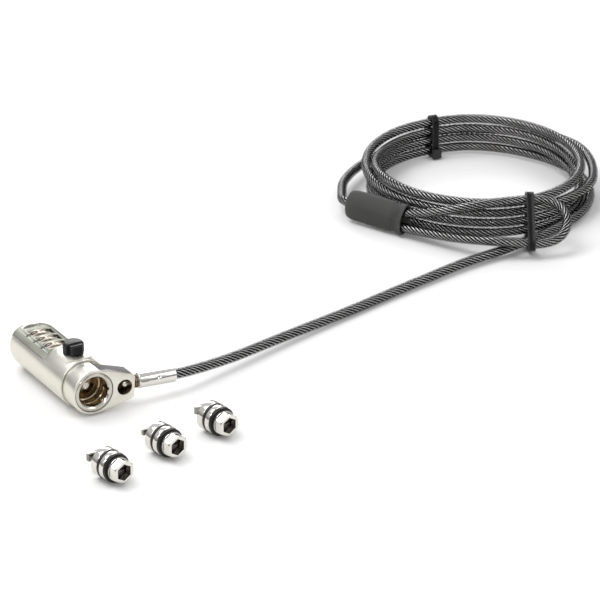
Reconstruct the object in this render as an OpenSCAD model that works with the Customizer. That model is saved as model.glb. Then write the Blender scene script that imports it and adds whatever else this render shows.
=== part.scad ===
// Laptop cable lock with a four-dial combination barrel, a swivelling cable
// arm, a coiled vinyl-coated cable with an eye loop, and three loose tips.
// Origin: centre of the nose bore's mouth. The nose faces -Y, the barrel runs
// along +Y, the cable arm points along +X and +Z is up. Millimetres.

/* [Barrel] */
// Outside radius of the barrel
barrel_r = 10.3; // [10.25:0.05:10.4]
// Outside radius of the swivel collar
collar_r = 9.5; // [9.4:0.05:9.6]
// Overall length from the nose face to the rear end
overall_l = 59; // [59:0.1:60]
// Length of the swivel collar along the barrel
collar_l = 9.3; // [9:0.1:9.3]
// Radius of the rounded rear edge
rear_fillet = 4.5; // [4:0.1:4.6]
// Crown height of the dial panel above the barrel's axis
panel_h = 7.0; // [6.9:0.05:7.1]

/* [Nose bore] */
// Radius of the bore that takes a tip
bore_r = 6.3; // [6.3:0.05:6.35]
// Outside radius of the nose sleeve
sleeve_r = 6.9; // [6.85:0.05:6.9]
// Depth of the shoulder that stops a tip
shoulder_y = 10.6; // [10.4:0.1:10.8]

/* [Dials] */
// Number wheel radius
dial_r = 7.6; // [7.4:0.05:7.6]
// Number wheel width
dial_w = 4.3; // [4.1:0.1:4.3]
// Distance from one wheel's centre to the next
dial_pitch = 6.6; // [6.58:0.01:6.62]
// Centre of the first wheel behind the nose face
dial_y0 = 29.4; // [29.4:0.1:29.6]
// Length of each window along the barrel
window_l = 4.6; // [4.4:0.1:4.7]

/* [Locking slide] */
// Forward travel of the slide button
slide_travel = 3.5; // [3.5:0.1:3.5]
// Drop of the locking bolt over that travel
bolt_drop = 1.2; // [1.2:0.1:1.2]

/* [Arm and ferrule] */
// Droop of the cable arm below the horizontal
arm_droop = 3.5; // [3:0.5:5]
// Distance from the barrel's axis to the arm's end face
arm_reach = 18; // [17.5:0.5:18]
// Thickness of the arm along the barrel
arm_t = 7.5; // [7:0.5:7.5]
// Radius of the polished ferrule on the cable
ferrule_r = 3.1; // [3:0.05:3.2]

/* [Cable] */
// Radius of the vinyl jacket
cable_r = 2.2; // [2.1:0.05:2.2]
// Radius of the steel rope inside it
rope_r = 1.5; // [1.4:0.05:1.55]
// Spacing of the coil's rows
row_step = 4.6; // [4.6:0.05:4.7]
// Turn of the coil's own axes against the barrel's axes
coil_yaw = -30; // [-30:0.5:-29.5]

/* [Tips] */
// Radius of a tip's base and flange
tip_r = 6.0; // [5.9:0.05:6]
// Length of a tip from its flat face to its hexagonal nose
tip_l = 13.7; // [13.5:0.1:13.7]

/* [Hidden] */
NODES = [
    "swivel_collar", "nose_sleeve", "sleeve_pins", "barrel_body", "window_plate", "rear_cap",
    "reset_screw", "number_dial_1", "number_dial_2", "number_dial_3", "number_dial_4",
    "clutch_ring_1", "clutch_ring_2", "clutch_ring_3", "clutch_ring_4", "detent_spring",
    "spindle", "spindle_spring", "slide_carriage", "slide_button", "locking_bolt",
    "swivel_stud", "swivel_washer", "cable_ferrule", "wire_rope", "vinyl_jacket",
    "loop_crimp", "loop_sleeve", "cable_tie_rear", "cable_tie_front",
    "kslot_tip_body", "kslot_tip_bolt", "kslot_tip_front_ring", "kslot_tip_rear_ring",
    "nano_tip_body", "nano_tip_bolt", "nano_tip_front_ring", "nano_tip_rear_ring",
    "wedge_tip_body", "wedge_tip_bolt", "wedge_tip_front_ring", "wedge_tip_rear_ring"];
node = "all";
$fn = 96;
gap = 0.05;
floor_z = -barrel_r;
past_rear = 65; // cuts that leave through the rear end stop here
barrel_color = [0.83, 0.82, 0.79];

// places along the barrel
barrel_y0 = collar_l + 0.2;
sleeve_end = 18.4;
pin_y = 16.6;
pad_y = 17.3;
cavity_end = 24.2;
tunnel_y0 = 26.7;
cap_y = 56.4;
function dial_y(i) = dial_y0 + i*dial_pitch;

// radii about the barrel's axis
flange_r = 8.2;
cap_r = 7.8;
tunnel_r = 5.4;
dial_bore = 5.2;
clutch_r = dial_bore - gap;
slot_r = dial_r + 0.08;
spindle_r = 2;

// points along an arc
function arc(center, radius, from, to, steps) =
    [for (i = [0:steps]) let (angle = from + (to - from)*i/steps)
        center + radius*[cos(angle), sin(angle)]];
function unit(v) = v/norm(v);

// a solid of revolution whose profile is given as [radius, distance behind the nose]
module turned(profile) { rotate([-90, 0, 0]) rotate_extrude() polygon(profile); }
// a cylinder along the barrel from y0 to y1
module rod(r, y0, y1) { translate([0, y0, 0]) rotate([-90, 0, 0]) cylinder(r = r, h = y1 - y0); }
// a box from one corner to the other
module slab(from, to) { translate(from) cube(to - from); }
// stands a part's z axis along the drooping arm's axis
module on_arm() {
    rotate([0, arm_droop, 0]) translate([0, arm_t/2, 0]) rotate([0, 90, 0]) children();
}

// ---------- swivel collar with its cable arm ----------
arm_flare = 15; // slope of the arm's upper and lower faces
corner_r = 2;
corner_x = arm_reach - corner_r;
root_r = collar_r - 0.02;
corner_z = (root_r - corner_r - sin(arm_flare)*corner_x)/cos(arm_flare);
stud_r = 1.5;

function mirrored(p) = [p[0], -p[1]];
module arm_profile() {
    normal = [sin(arm_flare), cos(arm_flare)];
    root = root_r*normal;
    corner = [corner_x, corner_z];
    edge = corner + corner_r*normal;
    polygon([[0, 0], root, edge, corner, mirrored(corner), mirrored(edge), mirrored(root)]);
    translate([corner_x, -corner_z]) square([corner_r, 2*corner_z]);
    for (side = [-1, 1]) translate([corner_x, side*corner_z]) circle(r = corner_r);
}
module swivel_collar() {
    edge_r = 0.7;
    chamfer = 0.15;
    inner_r = 6.5;
    color([0.80, 0.79, 0.75]) difference() {
        union() {
            turned([[inner_r, 0], each arc([collar_r - edge_r, edge_r], edge_r, -90, 0, 5),
                [collar_r, collar_l - chamfer], [collar_r - chamfer, collar_l],
                [inner_r, collar_l]]);
            rotate([0, arm_droop, 0]) translate([0, arm_t, 0]) rotate([90, 0, 0])
                linear_extrude(arm_t) arm_profile();
        }
        rod(sleeve_r + gap, -1, collar_l + 1);
        // recess for the sleeve's flange
        rod(8.42, -1, 1.4);
        // round window in the arm's front
        rotate([0, arm_droop, 0]) translate([13.6, 0, 0]) rod(3.3, -1, 6);
        // bore for the stud in the arm's end wall
        on_arm() translate([0, 0, 14]) cylinder(r = stud_r + gap, h = 6);
    }
}

// ---------- nose sleeve: the tube that takes a tip ----------
flange_l = 1.3;
flange_edge = 0.35;
rear_bore = 5.7;
guide_bore = 1.65; // hole in the web inside the sleeve
// [radius, distance behind the nose]
sleeve_profile = [
    [bore_r + 0.6, 0], each arc([flange_r - flange_edge, flange_edge], flange_edge, -90, 0, 3),
    [flange_r, flange_l], [sleeve_r, flange_l], [sleeve_r, sleeve_end],
    [rear_bore, sleeve_end], [rear_bore, 14.8], [guide_bore, 14.8], [guide_bore, 14.1],
    [rear_bore, 14.1], [rear_bore, shoulder_y], [5.95, shoulder_y], [5.95, 8.2],
    [bore_r + 0.22, 8.0], [bore_r + 0.22, 7.0], [bore_r, 6.8],
    [bore_r, 4.5], [bore_r + 0.25, 4.3], [bore_r + 0.25, 3.9], [bore_r, 3.7], [bore_r, 0.6]];
pin_r = 0.6;
pin_hole_r = pin_r + 0.02;

// the two radial pins in the underside, starting at radius start
module pins(r, start, length) {
    for (angle = [60, 120]) rotate([0, angle, 0]) translate([start, pin_y, 0])
        rotate([0, 90, 0]) cylinder(r = r, h = length);
}
module nose_sleeve() {
    color([0.85, 0.82, 0.78]) difference() {
        turned(sleeve_profile);
        // window for the locking bolt
        slab([-2.2, 9.2, 4], [2.2, 13.1, 8]);
        // keyway on the arm's side
        slab([5, -0.5, -0.6], [bore_r + 0.35, 5.5, 0.6]);
        pins(pin_hole_r, 5, 4);
    }
}
module sleeve_pins() { color("dimgray") pins(pin_r, 5.8, 2.7); }

// ---------- barrel ----------
fillet_y = overall_l - rear_fillet;
fillet_x = barrel_r - rear_fillet;
// angle on the rear fillet where the body meets the cap
seam_angle = acos((cap_r + 0.05 - fillet_x)/rear_fillet);
pad_r = 7.2;
panel_corner = [6.9, 28.6];
panel_corner_r = 1.8;
panel_base = 2;
panel_top = 13;

// profile points from the fillet's start to the axis at the cap's seam
function rounded_rear(shrink = 0) = let (radius = rear_fillet - shrink)
    [each arc([fillet_x, fillet_y], radius, 0, seam_angle, 8),
     [0, fillet_y + radius*sin(seam_angle)]];
// large cylinder whose top is the panel's crown
module crown(drop = 0) {
    crown_r = 25;
    translate([0, 0, panel_h - crown_r - drop]) rod(crown_r, 20, past_rear, $fn = 240);
}
// space above the crowned panel, ending in a curved front edge
module panel_pocket(drop, grow) {
    x = panel_corner[0];
    y = panel_corner[1];
    r = panel_corner_r + grow;
    difference() {
        union() {
            slab([-x - r, y, panel_base], [x + r, past_rear, panel_top]);
            slab([-x, y - r, panel_base], [x, past_rear, panel_top]);
            for (side = [-1, 1]) translate([side*x, y, panel_base])
                cylinder(r = r, h = panel_top - panel_base, $fn = 48);
        }
        crown(drop);
    }
}
// room for each dial
module dial_slots() {
    half = dial_w/2 + 0.15;
    for (i = [0:3]) rod(slot_r, dial_y(i) - half, dial_y(i) + half);
}
module barrel_body() {
    slot_half = dial_w/2 + 0.15;
    color(barrel_color) difference() {
        union() {
            turned([[0, barrel_y0], [barrel_r - 0.15, barrel_y0], [barrel_r, barrel_y0 + 0.15],
                each rounded_rear()]);
            // raised oval pad under the button
            translate([0, pad_y, 6]) intersection() {
                cylinder(r = pad_r, h = 4.5);
                slab([-5.4, -7, 0], [5.4, 7, 5]);
            }
        }
        // sleeve seat and the carriage's space behind it
        rod(sleeve_r + 0.02, barrel_y0 - 1, cavity_end);
        // channel for the locking bolt and the carriage bar
        slab([-2.1, barrel_y0 - 1, 5], [2.1, cavity_end, 8.6]);
        // slot for the button's tongue
        slab([-1.4, 12.9, 7], [1.4, 20.6, 12]);
        pins(pin_hole_r, 5, 3.55);
        // spindle bearing, and the tunnel through the dials
        rod(spindle_r + gap, cavity_end - 1, tunnel_y0 + 1);
        rod(tunnel_r, tunnel_y0, past_rear);
        // one slot for each dial, open at the top
        dial_slots();
        for (i = [0:3])
            slab([-slot_r, dial_y(i) - slot_half, 0], [slot_r, dial_y(i) + slot_half, 11]);
        // room above the ribs, then the pocket of the panel
        slab([-tunnel_r, tunnel_y0 + 0.4, 0], [tunnel_r, 51.4, 11]);
        panel_pocket(drop = 0.72, grow = 0.12);
        // channel of the detent spring
        slab([-1.6, tunnel_y0 + 0.3, -8.75], [1.6, cap_y + 0.1, -4]);
        // counterbore of the rear cap
        rod(cap_r + 0.02, cap_y, past_rear);
    }
}
module window_plate() {
    inset = 0.02;
    color([0.66, 0.67, 0.61]) difference() {
        intersection() {
            panel_pocket(drop = 0.7, grow = 0);
            crown();
            turned([[0, 20], [barrel_r - inset, 20], each rounded_rear(inset)]);
        }
        for (i = [0:3])
            slab([-3.6, dial_y(i) - window_l/2, 0], [6.3, dial_y(i) + window_l/2, 13]);
        // clear of the wheels under it
        dial_slots();
        // clear of the rear cap and of the button's pad
        rod(cap_r + 0.05, cap_y - 0.05, past_rear);
        translate([0, pad_y, 0]) cylinder(r = pad_r + gap, h = 12);
        // sight dots beside each window
        for (i = [0:3]) translate([-5.1, dial_y(i), 6.0]) cylinder(r = 0.34, h = 2, $fn = 24);
    }
}

screw_head_r = 2;
screw_shank_r = 1;
module rear_cap() {
    hole_r = screw_shank_r + gap;
    color(barrel_color) difference() {
        turned([[hole_r, cap_y + 0.02], [cap_r - 0.02, cap_y + 0.02],
            each arc([fillet_x, fillet_y], rear_fillet, seam_angle + 0.8, 90, 8),
            [hole_r, overall_l]]);
        rod(screw_head_r + gap, cap_y + 0.9, past_rear);
    }
}
module reset_screw() {
    color("silver") difference() {
        union() {
            rod(screw_head_r, cap_y + 0.95, overall_l - 0.1);
            rod(screw_shank_r, cap_y - 0.3, cap_y + 1.4);
        }
        // screwdriver slot
        slab([-0.3, overall_l - 0.8, -3], [0.3, past_rear, 3]);
    }
}

// ---------- dials and what they carry ----------
module number_dial(i) {
    half = dial_w/2;
    chamfer = 0.3;
    color([0.74, 0.70, 0.64]) translate([0, dial_y(i), 0]) difference() {
        turned([[dial_bore, -half], [dial_r - chamfer, -half], [dial_r, chamfer - half],
            [dial_r, half - chamfer], [dial_r - chamfer, half], [dial_bore, half]]);
        // ten finger grooves
        for (k = [0:9]) rotate([0, 18 + 36*k, 0]) translate([0, 0, dial_r + 0.62])
            rod(0.85, -3, 3, $fn = 24);
    }
}
module clutch_ring(i) {
    recess_r = 3.9;
    color("goldenrod") translate([0, dial_y(i), 0]) difference() {
        rod(clutch_r, -2, 2);
        rod(spindle_r + 0.1, -3, 3);
        // recesses on both sides of the inner web
        rod(recess_r, -3, -0.95);
        rod(recess_r, 0.25, 3);
        // keyway for the spindle's key
        slab([-0.9, -3, 0], [0.9, 3, 3.75]);
    }
}
module detent_spring() {
    color("gainsboro") {
        slab([-1.4, tunnel_y0 + 0.6, -8.4], [1.4, cap_y - 0.1, -8.15]);
        // one rib under each dial
        for (i = [0:3]) translate([0, dial_y(i), -8.2]) rotate([0, 90, 0])
            translate([0, 0, -0.5]) cylinder(r = 0.42, h = 1, $fn = 24);
    }
}
module spindle() {
    front_r = 1.6;
    color("silver") {
        rod(front_r, 7.7, 19.2);
        turned([[0, 7.5], [1.3, 7.5], [front_r, 7.8], [front_r, 8.2], [0, 8.2]]);
        rod(spindle_r, 19, cap_y - 0.7);
        // one key for each clutch ring
        for (i = [0:3]) slab([-0.8, dial_y(i) + 0.9, 0], [0.8, dial_y(i) + 1.75, 3.6]);
    }
}

// ---------- locking slide ----------
// opposite corners of the tongue that carries the button
tongue_from = [-1.3, 16.7, 8.3];
tongue_to = [1.3, 20.3, 13.25];
module slide_carriage() {
    color("darkgray") difference() {
        union() {
            // bar over the sleeve
            slab([-2, 12.95, 7.25], [2, 24, 8.4]);
            slab(tongue_from, tongue_to);
            // rear web and the ring around the spindle
            slab([-2, 22.5, 2], [2, 24, 8.4]);
            rod(3.6, 22.5, 24);
        }
        rod(spindle_r + 0.02, 20, 26);
    }
}
module slide_button() {
    base_z = 10.6;
    front_y = 14.0;
    block_top = 14.75;
    block_half = 2.75;
    bevel = 0.7; // side of the square cutter at each edge
    color([0.06, 0.06, 0.065]) difference() {
        union() {
            // round rear half with a softly rounded top
            intersection() {
                translate([0, 17.9, 0]) rotate_extrude()
                    polygon([[0, base_z], [4.25, base_z], [4.35, 10.85],
                        each arc([2.95, 13.9], 1.35, 0, 90, 6), [0, 15.4]]);
                slab([-6, 16.3, 9], [6, 24, 16]);
            }
            // squared thumb block in front, a little lower
            difference() {
                slab([-block_half, front_y, base_z], [block_half, 16.8, block_top]);
                for (side = [-1, 1]) translate([side*block_half, front_y, 0])
                    rotate([0, 0, 45]) cube([bevel, bevel, 40], center = true);
                translate([0, front_y, block_top]) rotate([45, 0, 0])
                    cube([10, bevel, bevel], center = true);
            }
        }
        slab([tongue_from[0] - gap, tongue_from[1] - gap, 9], tongue_to + [gap, gap, gap]);
    }
}
module locking_bolt() {
    front = barrel_y0 + 0.2;
    step_y = 10.25;
    rear = 12.9;
    rear_top = 7.2;
    front_top = rear_top + bolt_drop/slide_travel*(rear - front);
    color("gold") rotate([90, 0, 90]) translate([0, 0, -2]) linear_extrude(4)
        polygon([[front, 6.42], [step_y, 6.42], [step_y, 6.95], [rear, 6.95],
            [rear, rear_top], [front, front_top]]);
}

// ---------- round sections swept along a path ----------
function tangents(path) = let (last = len(path) - 1)
    [for (i = [0:last]) unit(path[min(i + 1, last)] - path[max(i - 1, 0)])];
// unit vector along v's part square to the direction given
function square_to(v, direction) = unit(v - (v*direction)*direction);
// normals carried along the path with the least twist
function normals(along, start) = let (n = len(along))
    [for (i = 0, v = square_to(start, along[0]); i < n;
        v = square_to(v, along[min(i + 1, n - 1)]), i = i + 1) v];
function swept_points(path, radius, sides, start_normal = [0, 0, 1]) =
    let (along = tangents(path), normal = normals(along, start_normal))
    [for (i = [0:len(path) - 1]) let (across = cross(along[i], normal[i]))
        for (j = [0:sides - 1]) let (angle = 360*j/sides)
            path[i] + radius*(cos(angle)*normal[i] + sin(angle)*across)];
function wall_faces(count, sides) =
    [for (i = [0:count - 2]) for (j = [0:sides - 1])
        let (a = i*sides + j, b = i*sides + (j + 1)%sides)
            each [[a, a + sides, b + sides], [a, b + sides, b]]];
// closed sweep of a regular section along the path
module sweep(path, radius, sides, start_normal = [0, 0, 1]) {
    count = len(path);
    polyhedron(swept_points(path, radius, sides, start_normal), [
        [for (j = [0:sides - 1]) j],
        each wall_faces(count, sides),
        [for (j = [sides - 1:-1:0]) (count - 1)*sides + j]], convexity = 10);
}
// the same, hollow and open at both ends
module tube_sweep(path, outer_r, inner_r, sides) {
    count = len(path);
    inner = count*sides;       // first point of the inner wall
    end = (count - 1)*sides;   // first point of the last section
    outer_faces = wall_faces(count, sides);
    inner_faces = [for (face = outer_faces) [for (k = [0, 2, 1]) face[k] + inner]];
    end_faces = [for (j = [0:sides - 1]) let (b = (j + 1)%sides) each [
        [j, b, inner + b], [j, inner + b, inner + j],
        [end + j, inner + end + b, end + b], [end + j, inner + end + j, inner + end + b]]];
    points = concat(swept_points(path, outer_r, sides), swept_points(path, inner_r, sides));
    polyhedron(points, concat(outer_faces, inner_faces, end_faces), convexity = 10);
}
module spindle_spring() {
    steps = 14; // per turn
    total = 4*steps;
    path = [for (i = [0:total]) let (angle = 360*i/steps)
        [3.1*cos(angle), 18.75 + 3.3*i/total, 3.1*sin(angle)]];
    color("gray") sweep(path, 0.32, 6, [0, 1, 0]);
}

// ---------- cable end: stud, washer, ferrule ----------
module swivel_stud() {
    color("silver") on_arm() {
        translate([0, 0, 15.0]) cylinder(r = stud_r, h = 8.1);
        // domed head inside the arm
        rotate_extrude() polygon([[0, 15.6], [1.7, 15.6], each arc([0, 15.3], 1.9, 0, -90, 8)]);
    }
}
module swivel_washer() {
    rim_r = 2.7;
    groove_r = 2.3;
    grooves = [for (z = [0.55, 1.55])
        each [[rim_r, z], [groove_r, z + 0.15], [groove_r, z + 0.4], [rim_r, z + 0.55]]];
    color([0.2, 0.18, 0.17]) on_arm() translate([0, 0, arm_reach + 0.15]) difference() {
        rotate_extrude() polygon([[0, 0], [rim_r, 0], each grooves, [rim_r, 2.6], [0, 2.6]]);
        translate([0, 0, -1]) cylinder(r = stud_r + gap, h = 6);
    }
}
// the ferrule's ends, as distances along the arm's axis
ferrule_start = arm_reach + 2.9;
ferrule_end = 37.8;
module cable_ferrule() {
    dimple_at = ferrule_r + 1.35;
    color([0.9, 0.9, 0.9]) on_arm() difference() {
        rotate_extrude() polygon([[0, ferrule_start], [ferrule_r - 0.5, ferrule_start],
            [ferrule_r, ferrule_start + 0.5], [ferrule_r, ferrule_end - 0.35],
            [ferrule_r - 0.35, ferrule_end], [0, ferrule_end]]);
        translate([0, 0, ferrule_start - 1]) cylinder(r = stud_r + 0.02, h = 3.6);
        translate([0, 0, 24.4]) cylinder(r = cable_r + 0.12, h = 20);
        // crimp dimple facing the nose
        translate([-sin(25)*dimple_at, -cos(25)*dimple_at, 29.5]) sphere(r = 1.7, $fn = 40);
    }
}

// ---------- the cable's centre line, in the coil's own axes ----------
// x across the coil, y to its far side, z above the floor
coil_back = 2.36;
coil_c = [164, 229.5];
row0_z = 3.45;
module in_coil() { rotate([0, 0, coil_yaw]) translate([0, coil_back, floor_z]) children(); }

// 0 before from, 1 after to, eased between
function ease(from, to, x) = let (t = min(max((x - from)/(to - from), 0), 1)) t*t*(3 - 2*t);
// the coil is flattened a little on two sides
function coil_r(angle) =
    52.3 - 7.5*pow(max(0, cos(angle - 10)), 1.6) - 2.2*max(0, cos(angle - 185));
// five passes: four stacked rows and one outside; the rows climb on the right
// and the upper two change places on the left
function climb(angle) = 90*ease(-20, 75, angle);
function swap(angle) = 180*ease(110, 235, angle) - 90;
// distance of a pass outside the coil's base radius
function pass_offset(pass, angle) =
    pass == 1 ? row_step*cos(climb(angle)) :
    pass == 2 ? 0 :
    pass == 3 ? -row_step/2*cos(swap(angle)) :
    pass == 4 ? row_step/2*cos(swap(angle)) :
    (row_step + 0.9)*ease(-62, -12, angle) + 3.5*exp(-pow((angle - 40)/30, 2));
// height of a pass, in rows
function pass_row(pass, angle) =
    pass == 1 ? 0 :
    pass == 2 ? sin(climb(angle)) :
    pass == 3 ? (angle > 110 ? 1.5 + sin(climb(angle)) + 0.5*sin(swap(angle))
                             : 1 + sin(climb(angle))) :
    pass == 4 ? (angle <= 110 ? 3 : 2.5 - 0.5*sin(swap(angle))) :
    2 - 0.6*ease(20, 90, angle) - 0.75*ease(80, 130, angle);
// [distance from the coil's centre, height]
function pass_section(pass, angle) =
    [coil_r(angle) + pass_offset(pass, angle), row0_z + row_step*pass_row(pass, angle)];
function pass_point(pass, angle) = let (p = pass_section(pass, angle))
    [coil_c[0] + p[0]*cos(angle), coil_c[1] + p[0]*sin(angle), p[1]];
function pass_dir(pass, angle) = unit(pass_point(pass, angle + 0.5) - pass_point(pass, angle));

function hermite(start, start_dir, end, end_dir, t) =
    (2*t*t*t - 3*t*t + 1)*start + (t*t*t - 2*t*t + t)*start_dir
    + (3*t*t - 2*t*t*t)*end + (t*t*t - t*t)*end_dir;
// smooth curve through the points with given end directions; leaves out the last point
function spline(points, start_dir, end_dir, steps) =
    let (last = len(points) - 1,
        dirs = [for (i = [0:last]) i == 0 ? start_dir : i == last ? end_dir :
            (points[i + 1] - points[i - 1])/2])
    [for (i = [0:last - 1]) for (j = [0:steps - 1])
        hermite(points[i], dirs[i], points[i + 1], dirs[i + 1], j/steps)];

// a point of the drooping arm's axis, in the coil's axes
function arm_point(distance) =
    let (x = distance*cos(arm_droop), y = arm_t/2, z = -distance*sin(arm_droop) - floor_z)
    [x*cos(coil_yaw) + y*sin(coil_yaw), -x*sin(coil_yaw) + y*cos(coil_yaw) - coil_back, z];
arm_dir = unit(arm_point(2) - arm_point(1));

// the plastic sleeve of the eye lies across the coil's near left side, on edge
sleeve_c = [115.9, 191.4, 7.6];
sleeve_tilt = 22;
sleeve_axis = unit([0.783, -0.622, 0]);
sleeve_wide = [0.622*sin(sleeve_tilt), 0.783*sin(sleeve_tilt), cos(sleeve_tilt)];
sleeve_l = 32;
function in_sleeve(along, wide) = sleeve_c + along*sleeve_axis + wide*sleeve_wide;

lead_in = -40;    // angle where the lead joins the first pass
exit_angle = 140; // angle where the cable leaves the last pass
arch_c = [188, 166.4, 13.3];
// [x, y, z] of the stations from the ferrule to the coil
lead_stations = [
    arm_point(ferrule_end), [52, 40.6, 5.1], [76.2, 67.2, 3.5], [101, 92.8, 2.6],
    [126, 118.5, 2.5], [153, 144, 3], [172, 158.5, 3.45], [188, 174, 3.45],
    pass_point(1, lead_in)];
// [x, y, z] of the stations from the coil, through the sleeve, round the eye and back
eye_end = in_sleeve(-1, -2.5);
eye_stations = [
    pass_point(5, exit_angle), [108.6, 248.5, 6.1], [101.9, 231, 6.3], [100.6, 216, 6.9],
    in_sleeve(-18.2, 0) + [0, 1.2, 0], in_sleeve(-7, 1.8), in_sleeve(4, 2.6),
    in_sleeve(sleeve_l/2, 3.2), [143.5, 174.2, 14.6], [156, 171.6, 18.2], [171, 173.4, 19.6],
    for (t = [0:45:180]) arch_c + [11.2, 0.6, 0]*sin(t) + [0, 9.2, 6.6]*cos(t),
    [177, 156.3, 7.4], [166, 156.3, 8.1], [155, 161.6, 6.9], [143.5, 169.2, 5.4],
    in_sleeve(sleeve_l/2 + 1, -3.3), in_sleeve(5, -2.7), eye_end];
eye_path = concat(
    spline(eye_stations, 18*pass_dir(5, exit_angle), -6*sleeve_axis, 3), [eye_end]);
cable_path = concat(
    [arm_point(25.2), arm_point(31.4)],
    spline(lead_stations, 19*arm_dir, 22*pass_dir(1, lead_in), 3),
    [for (pass = [1:5])
        for (angle = [(pass == 1 ? lead_in : -60):10:(pass == 5 ? exit_angle - 10 : 290)])
            pass_point(pass, angle)],
    eye_path);

module wire_rope() { color([0.45, 0.45, 0.46]) in_coil() sweep(cable_path, rope_r, 6); }
module vinyl_jacket() {
    color([0.2, 0.2, 0.21]) in_coil() tube_sweep(cable_path, cable_r, rope_r + 0.12, 8);
}

// ---------- the eye's crimp and sleeve ----------
function near_sleeve(p) = abs((p - sleeve_c)*sleeve_axis) < 22 && norm(p - sleeve_c) < 24;
function sleeve_run(from, to) =
    [for (i = [from:to]) if (near_sleeve(eye_path[i])) eye_path[i]];
eye_mid = floor(len(eye_path)/2);
// across the sleeve, [wide, thick]
sleeve_outline = [
    [-7, -1.6], [-5.9, -3.6], [-4.6, -4.3], [4.6, -4.3], [5.9, -3.6], [7, -1.6],
    [7, 1.6], [5.9, 3.6], [4.6, 4.3], [-4.6, 4.3], [-5.9, 3.6], [-7, 1.6]];

// stands a part's z axis along the sleeve, with x across its width
module sleeve_frame() {
    thick = -cross(sleeve_axis, sleeve_wide);
    multmatrix([
        for (i = [0:2]) [sleeve_wide[i], thick[i], sleeve_axis[i], sleeve_c[i]],
        [0, 0, 0, 1]]) children();
}
// channels for the cable where it enters and where its tail returns
module cable_channels() {
    channel_r = cable_r + 0.25;
    sweep(sleeve_run(0, eye_mid), channel_r, 8);
    sweep(concat(sleeve_run(eye_mid + 1, len(eye_path) - 1), [in_sleeve(-2.5, -2.45)]),
        channel_r, 8);
}
// round-ended bar from z = start
module crimp_bar(radius, start, length) {
    half = 2.7;
    sleeve_frame() translate([0, 0, start]) linear_extrude(length) {
        square([2*half, 2*radius], center = true);
        for (side = [-1, 1]) translate([half*side, 0]) circle(r = radius, $fn = 48);
    }
}
module loop_crimp() {
    color("gray") in_coil() difference() {
        crimp_bar(radius = 3, start = -1, length = 11);
        cable_channels();
    }
}
module loop_sleeve() {
    color([0.25, 0.25, 0.25]) in_coil() difference() {
        sleeve_frame() translate([0, 0, -sleeve_l/2]) linear_extrude(sleeve_l)
            polygon(sleeve_outline);
        crimp_bar(radius = 3.1, start = -1.1, length = 11.2);
        cable_channels();
    }
}

// ---------- cable ties ----------
tie_color = [0.08, 0.08, 0.085];
tie_w = 3.4;
lock_w = 4.6; // width of a tie's locking head

module bundle(strands) {
    hull() for (strand = strands) translate(strand) circle(r = cable_r + 0.45, $fn = 24);
}
// strap around the strands that cross a vertical plane through the coil
module strap(strands) {
    rotate([90, 0, 0]) translate([0, 0, -tie_w/2]) linear_extrude(tie_w) difference() {
        offset(r = 0.9, $fn = 24) bundle(strands);
        bundle(strands);
    }
}
module cable_tie_rear() {
    angle = 113;
    strands = [for (pass = [1:5]) pass_section(pass, angle)];
    color(tie_color) in_coil() translate([coil_c[0], coil_c[1], 0]) rotate([0, 0, angle]) {
        strap(strands);
        translate([strands[0][0] - cable_r - 3.4, -lock_w/2, 0.5]) difference() {
            cube([2.2, lock_w, 4.4]);
            translate([-0.1, 1.5, 1.2]) cube([1.1, 1.6, 2]);
        }
    }
}
module cable_tie_front() {
    x = 183;
    // [y, z] where the rows, the lead and the eye's two legs cross the tie's plane
    angle = -acos((x - coil_c[0])/51.6);
    rows = [for (k = [0:3]) [coil_c[1] + 50.7*sin(angle), row0_z + row_step*k]];
    others = [[166.4, row0_z], [175.2, 20], [156.6, 6.8]];
    color(tie_color) in_coil() translate([x, 0, 0]) rotate([0, 0, 90]) {
        strap(concat(rows, others));
        translate([173.4, -lock_w/2, 0.1]) cube([3, lock_w, 0.95]);
    }
}

// ---------- interchangeable tips, lying beside the lock ----------
kslot = 0;
nano = 1;
wedge = 2;
// [x, y] of each tip's middle on the floor
tip_at = [[-19.6, -54.4], [8.4, -45.4], [34.9, -38.9]];
tip_lift = 6.15;
tip_yaw = 9.5;
hex_r = 5.0;

// a tip's own z axis runs from its flat face to its nose, which points towards -Y
module place_tip(kind) {
    translate([tip_at[kind][0], tip_at[kind][1], floor_z + tip_lift]) rotate([0, 0, tip_yaw])
        translate([0, tip_l/2, 0]) rotate([90, 0, 0]) children();
}
module tip_body() {
    // [radius, z]: base, groove, flange and neck
    profile = [
        [0, 0], [tip_r - 0.4, 0], [tip_r, 0.4], [tip_r, 3.5], [tip_r - 0.2, 3.7],
        [5.1, 3.7], [5.1, 5.2], [tip_r - 0.2, 5.2], [tip_r, 5.4], [tip_r, 7.3],
        [tip_r - 0.3, 7.6], [4.9, 7.6], [4.9, 10.2], [0, 10.2]];
    color([0.88, 0.87, 0.85]) difference() {
        union() {
            rotate_extrude() polygon(profile);
            // hexagonal nose with a chamfered end
            intersection() {
                translate([0, 0, 10]) rotate([0, 0, 30])
                    cylinder(r = hex_r, h = tip_l - 10, $fn = 6);
                rotate_extrude() polygon([[0, 9], [hex_r, 9], [hex_r, tip_l - 0.6],
                    [hex_r - 0.6, tip_l], [0, tip_l]]);
            }
        }
        translate([0, 0, 9]) rotate([0, 0, 30]) cylinder(r = 3.5, h = 10, $fn = 6);
        translate([0, 0, -1]) cylinder(r = 2.3, h = 14);
    }
}
module bar_foot(size) {
    translate([-size[0]/2, -size[1]/2, -4.6 - size[2]]) cube(size);
}
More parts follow.
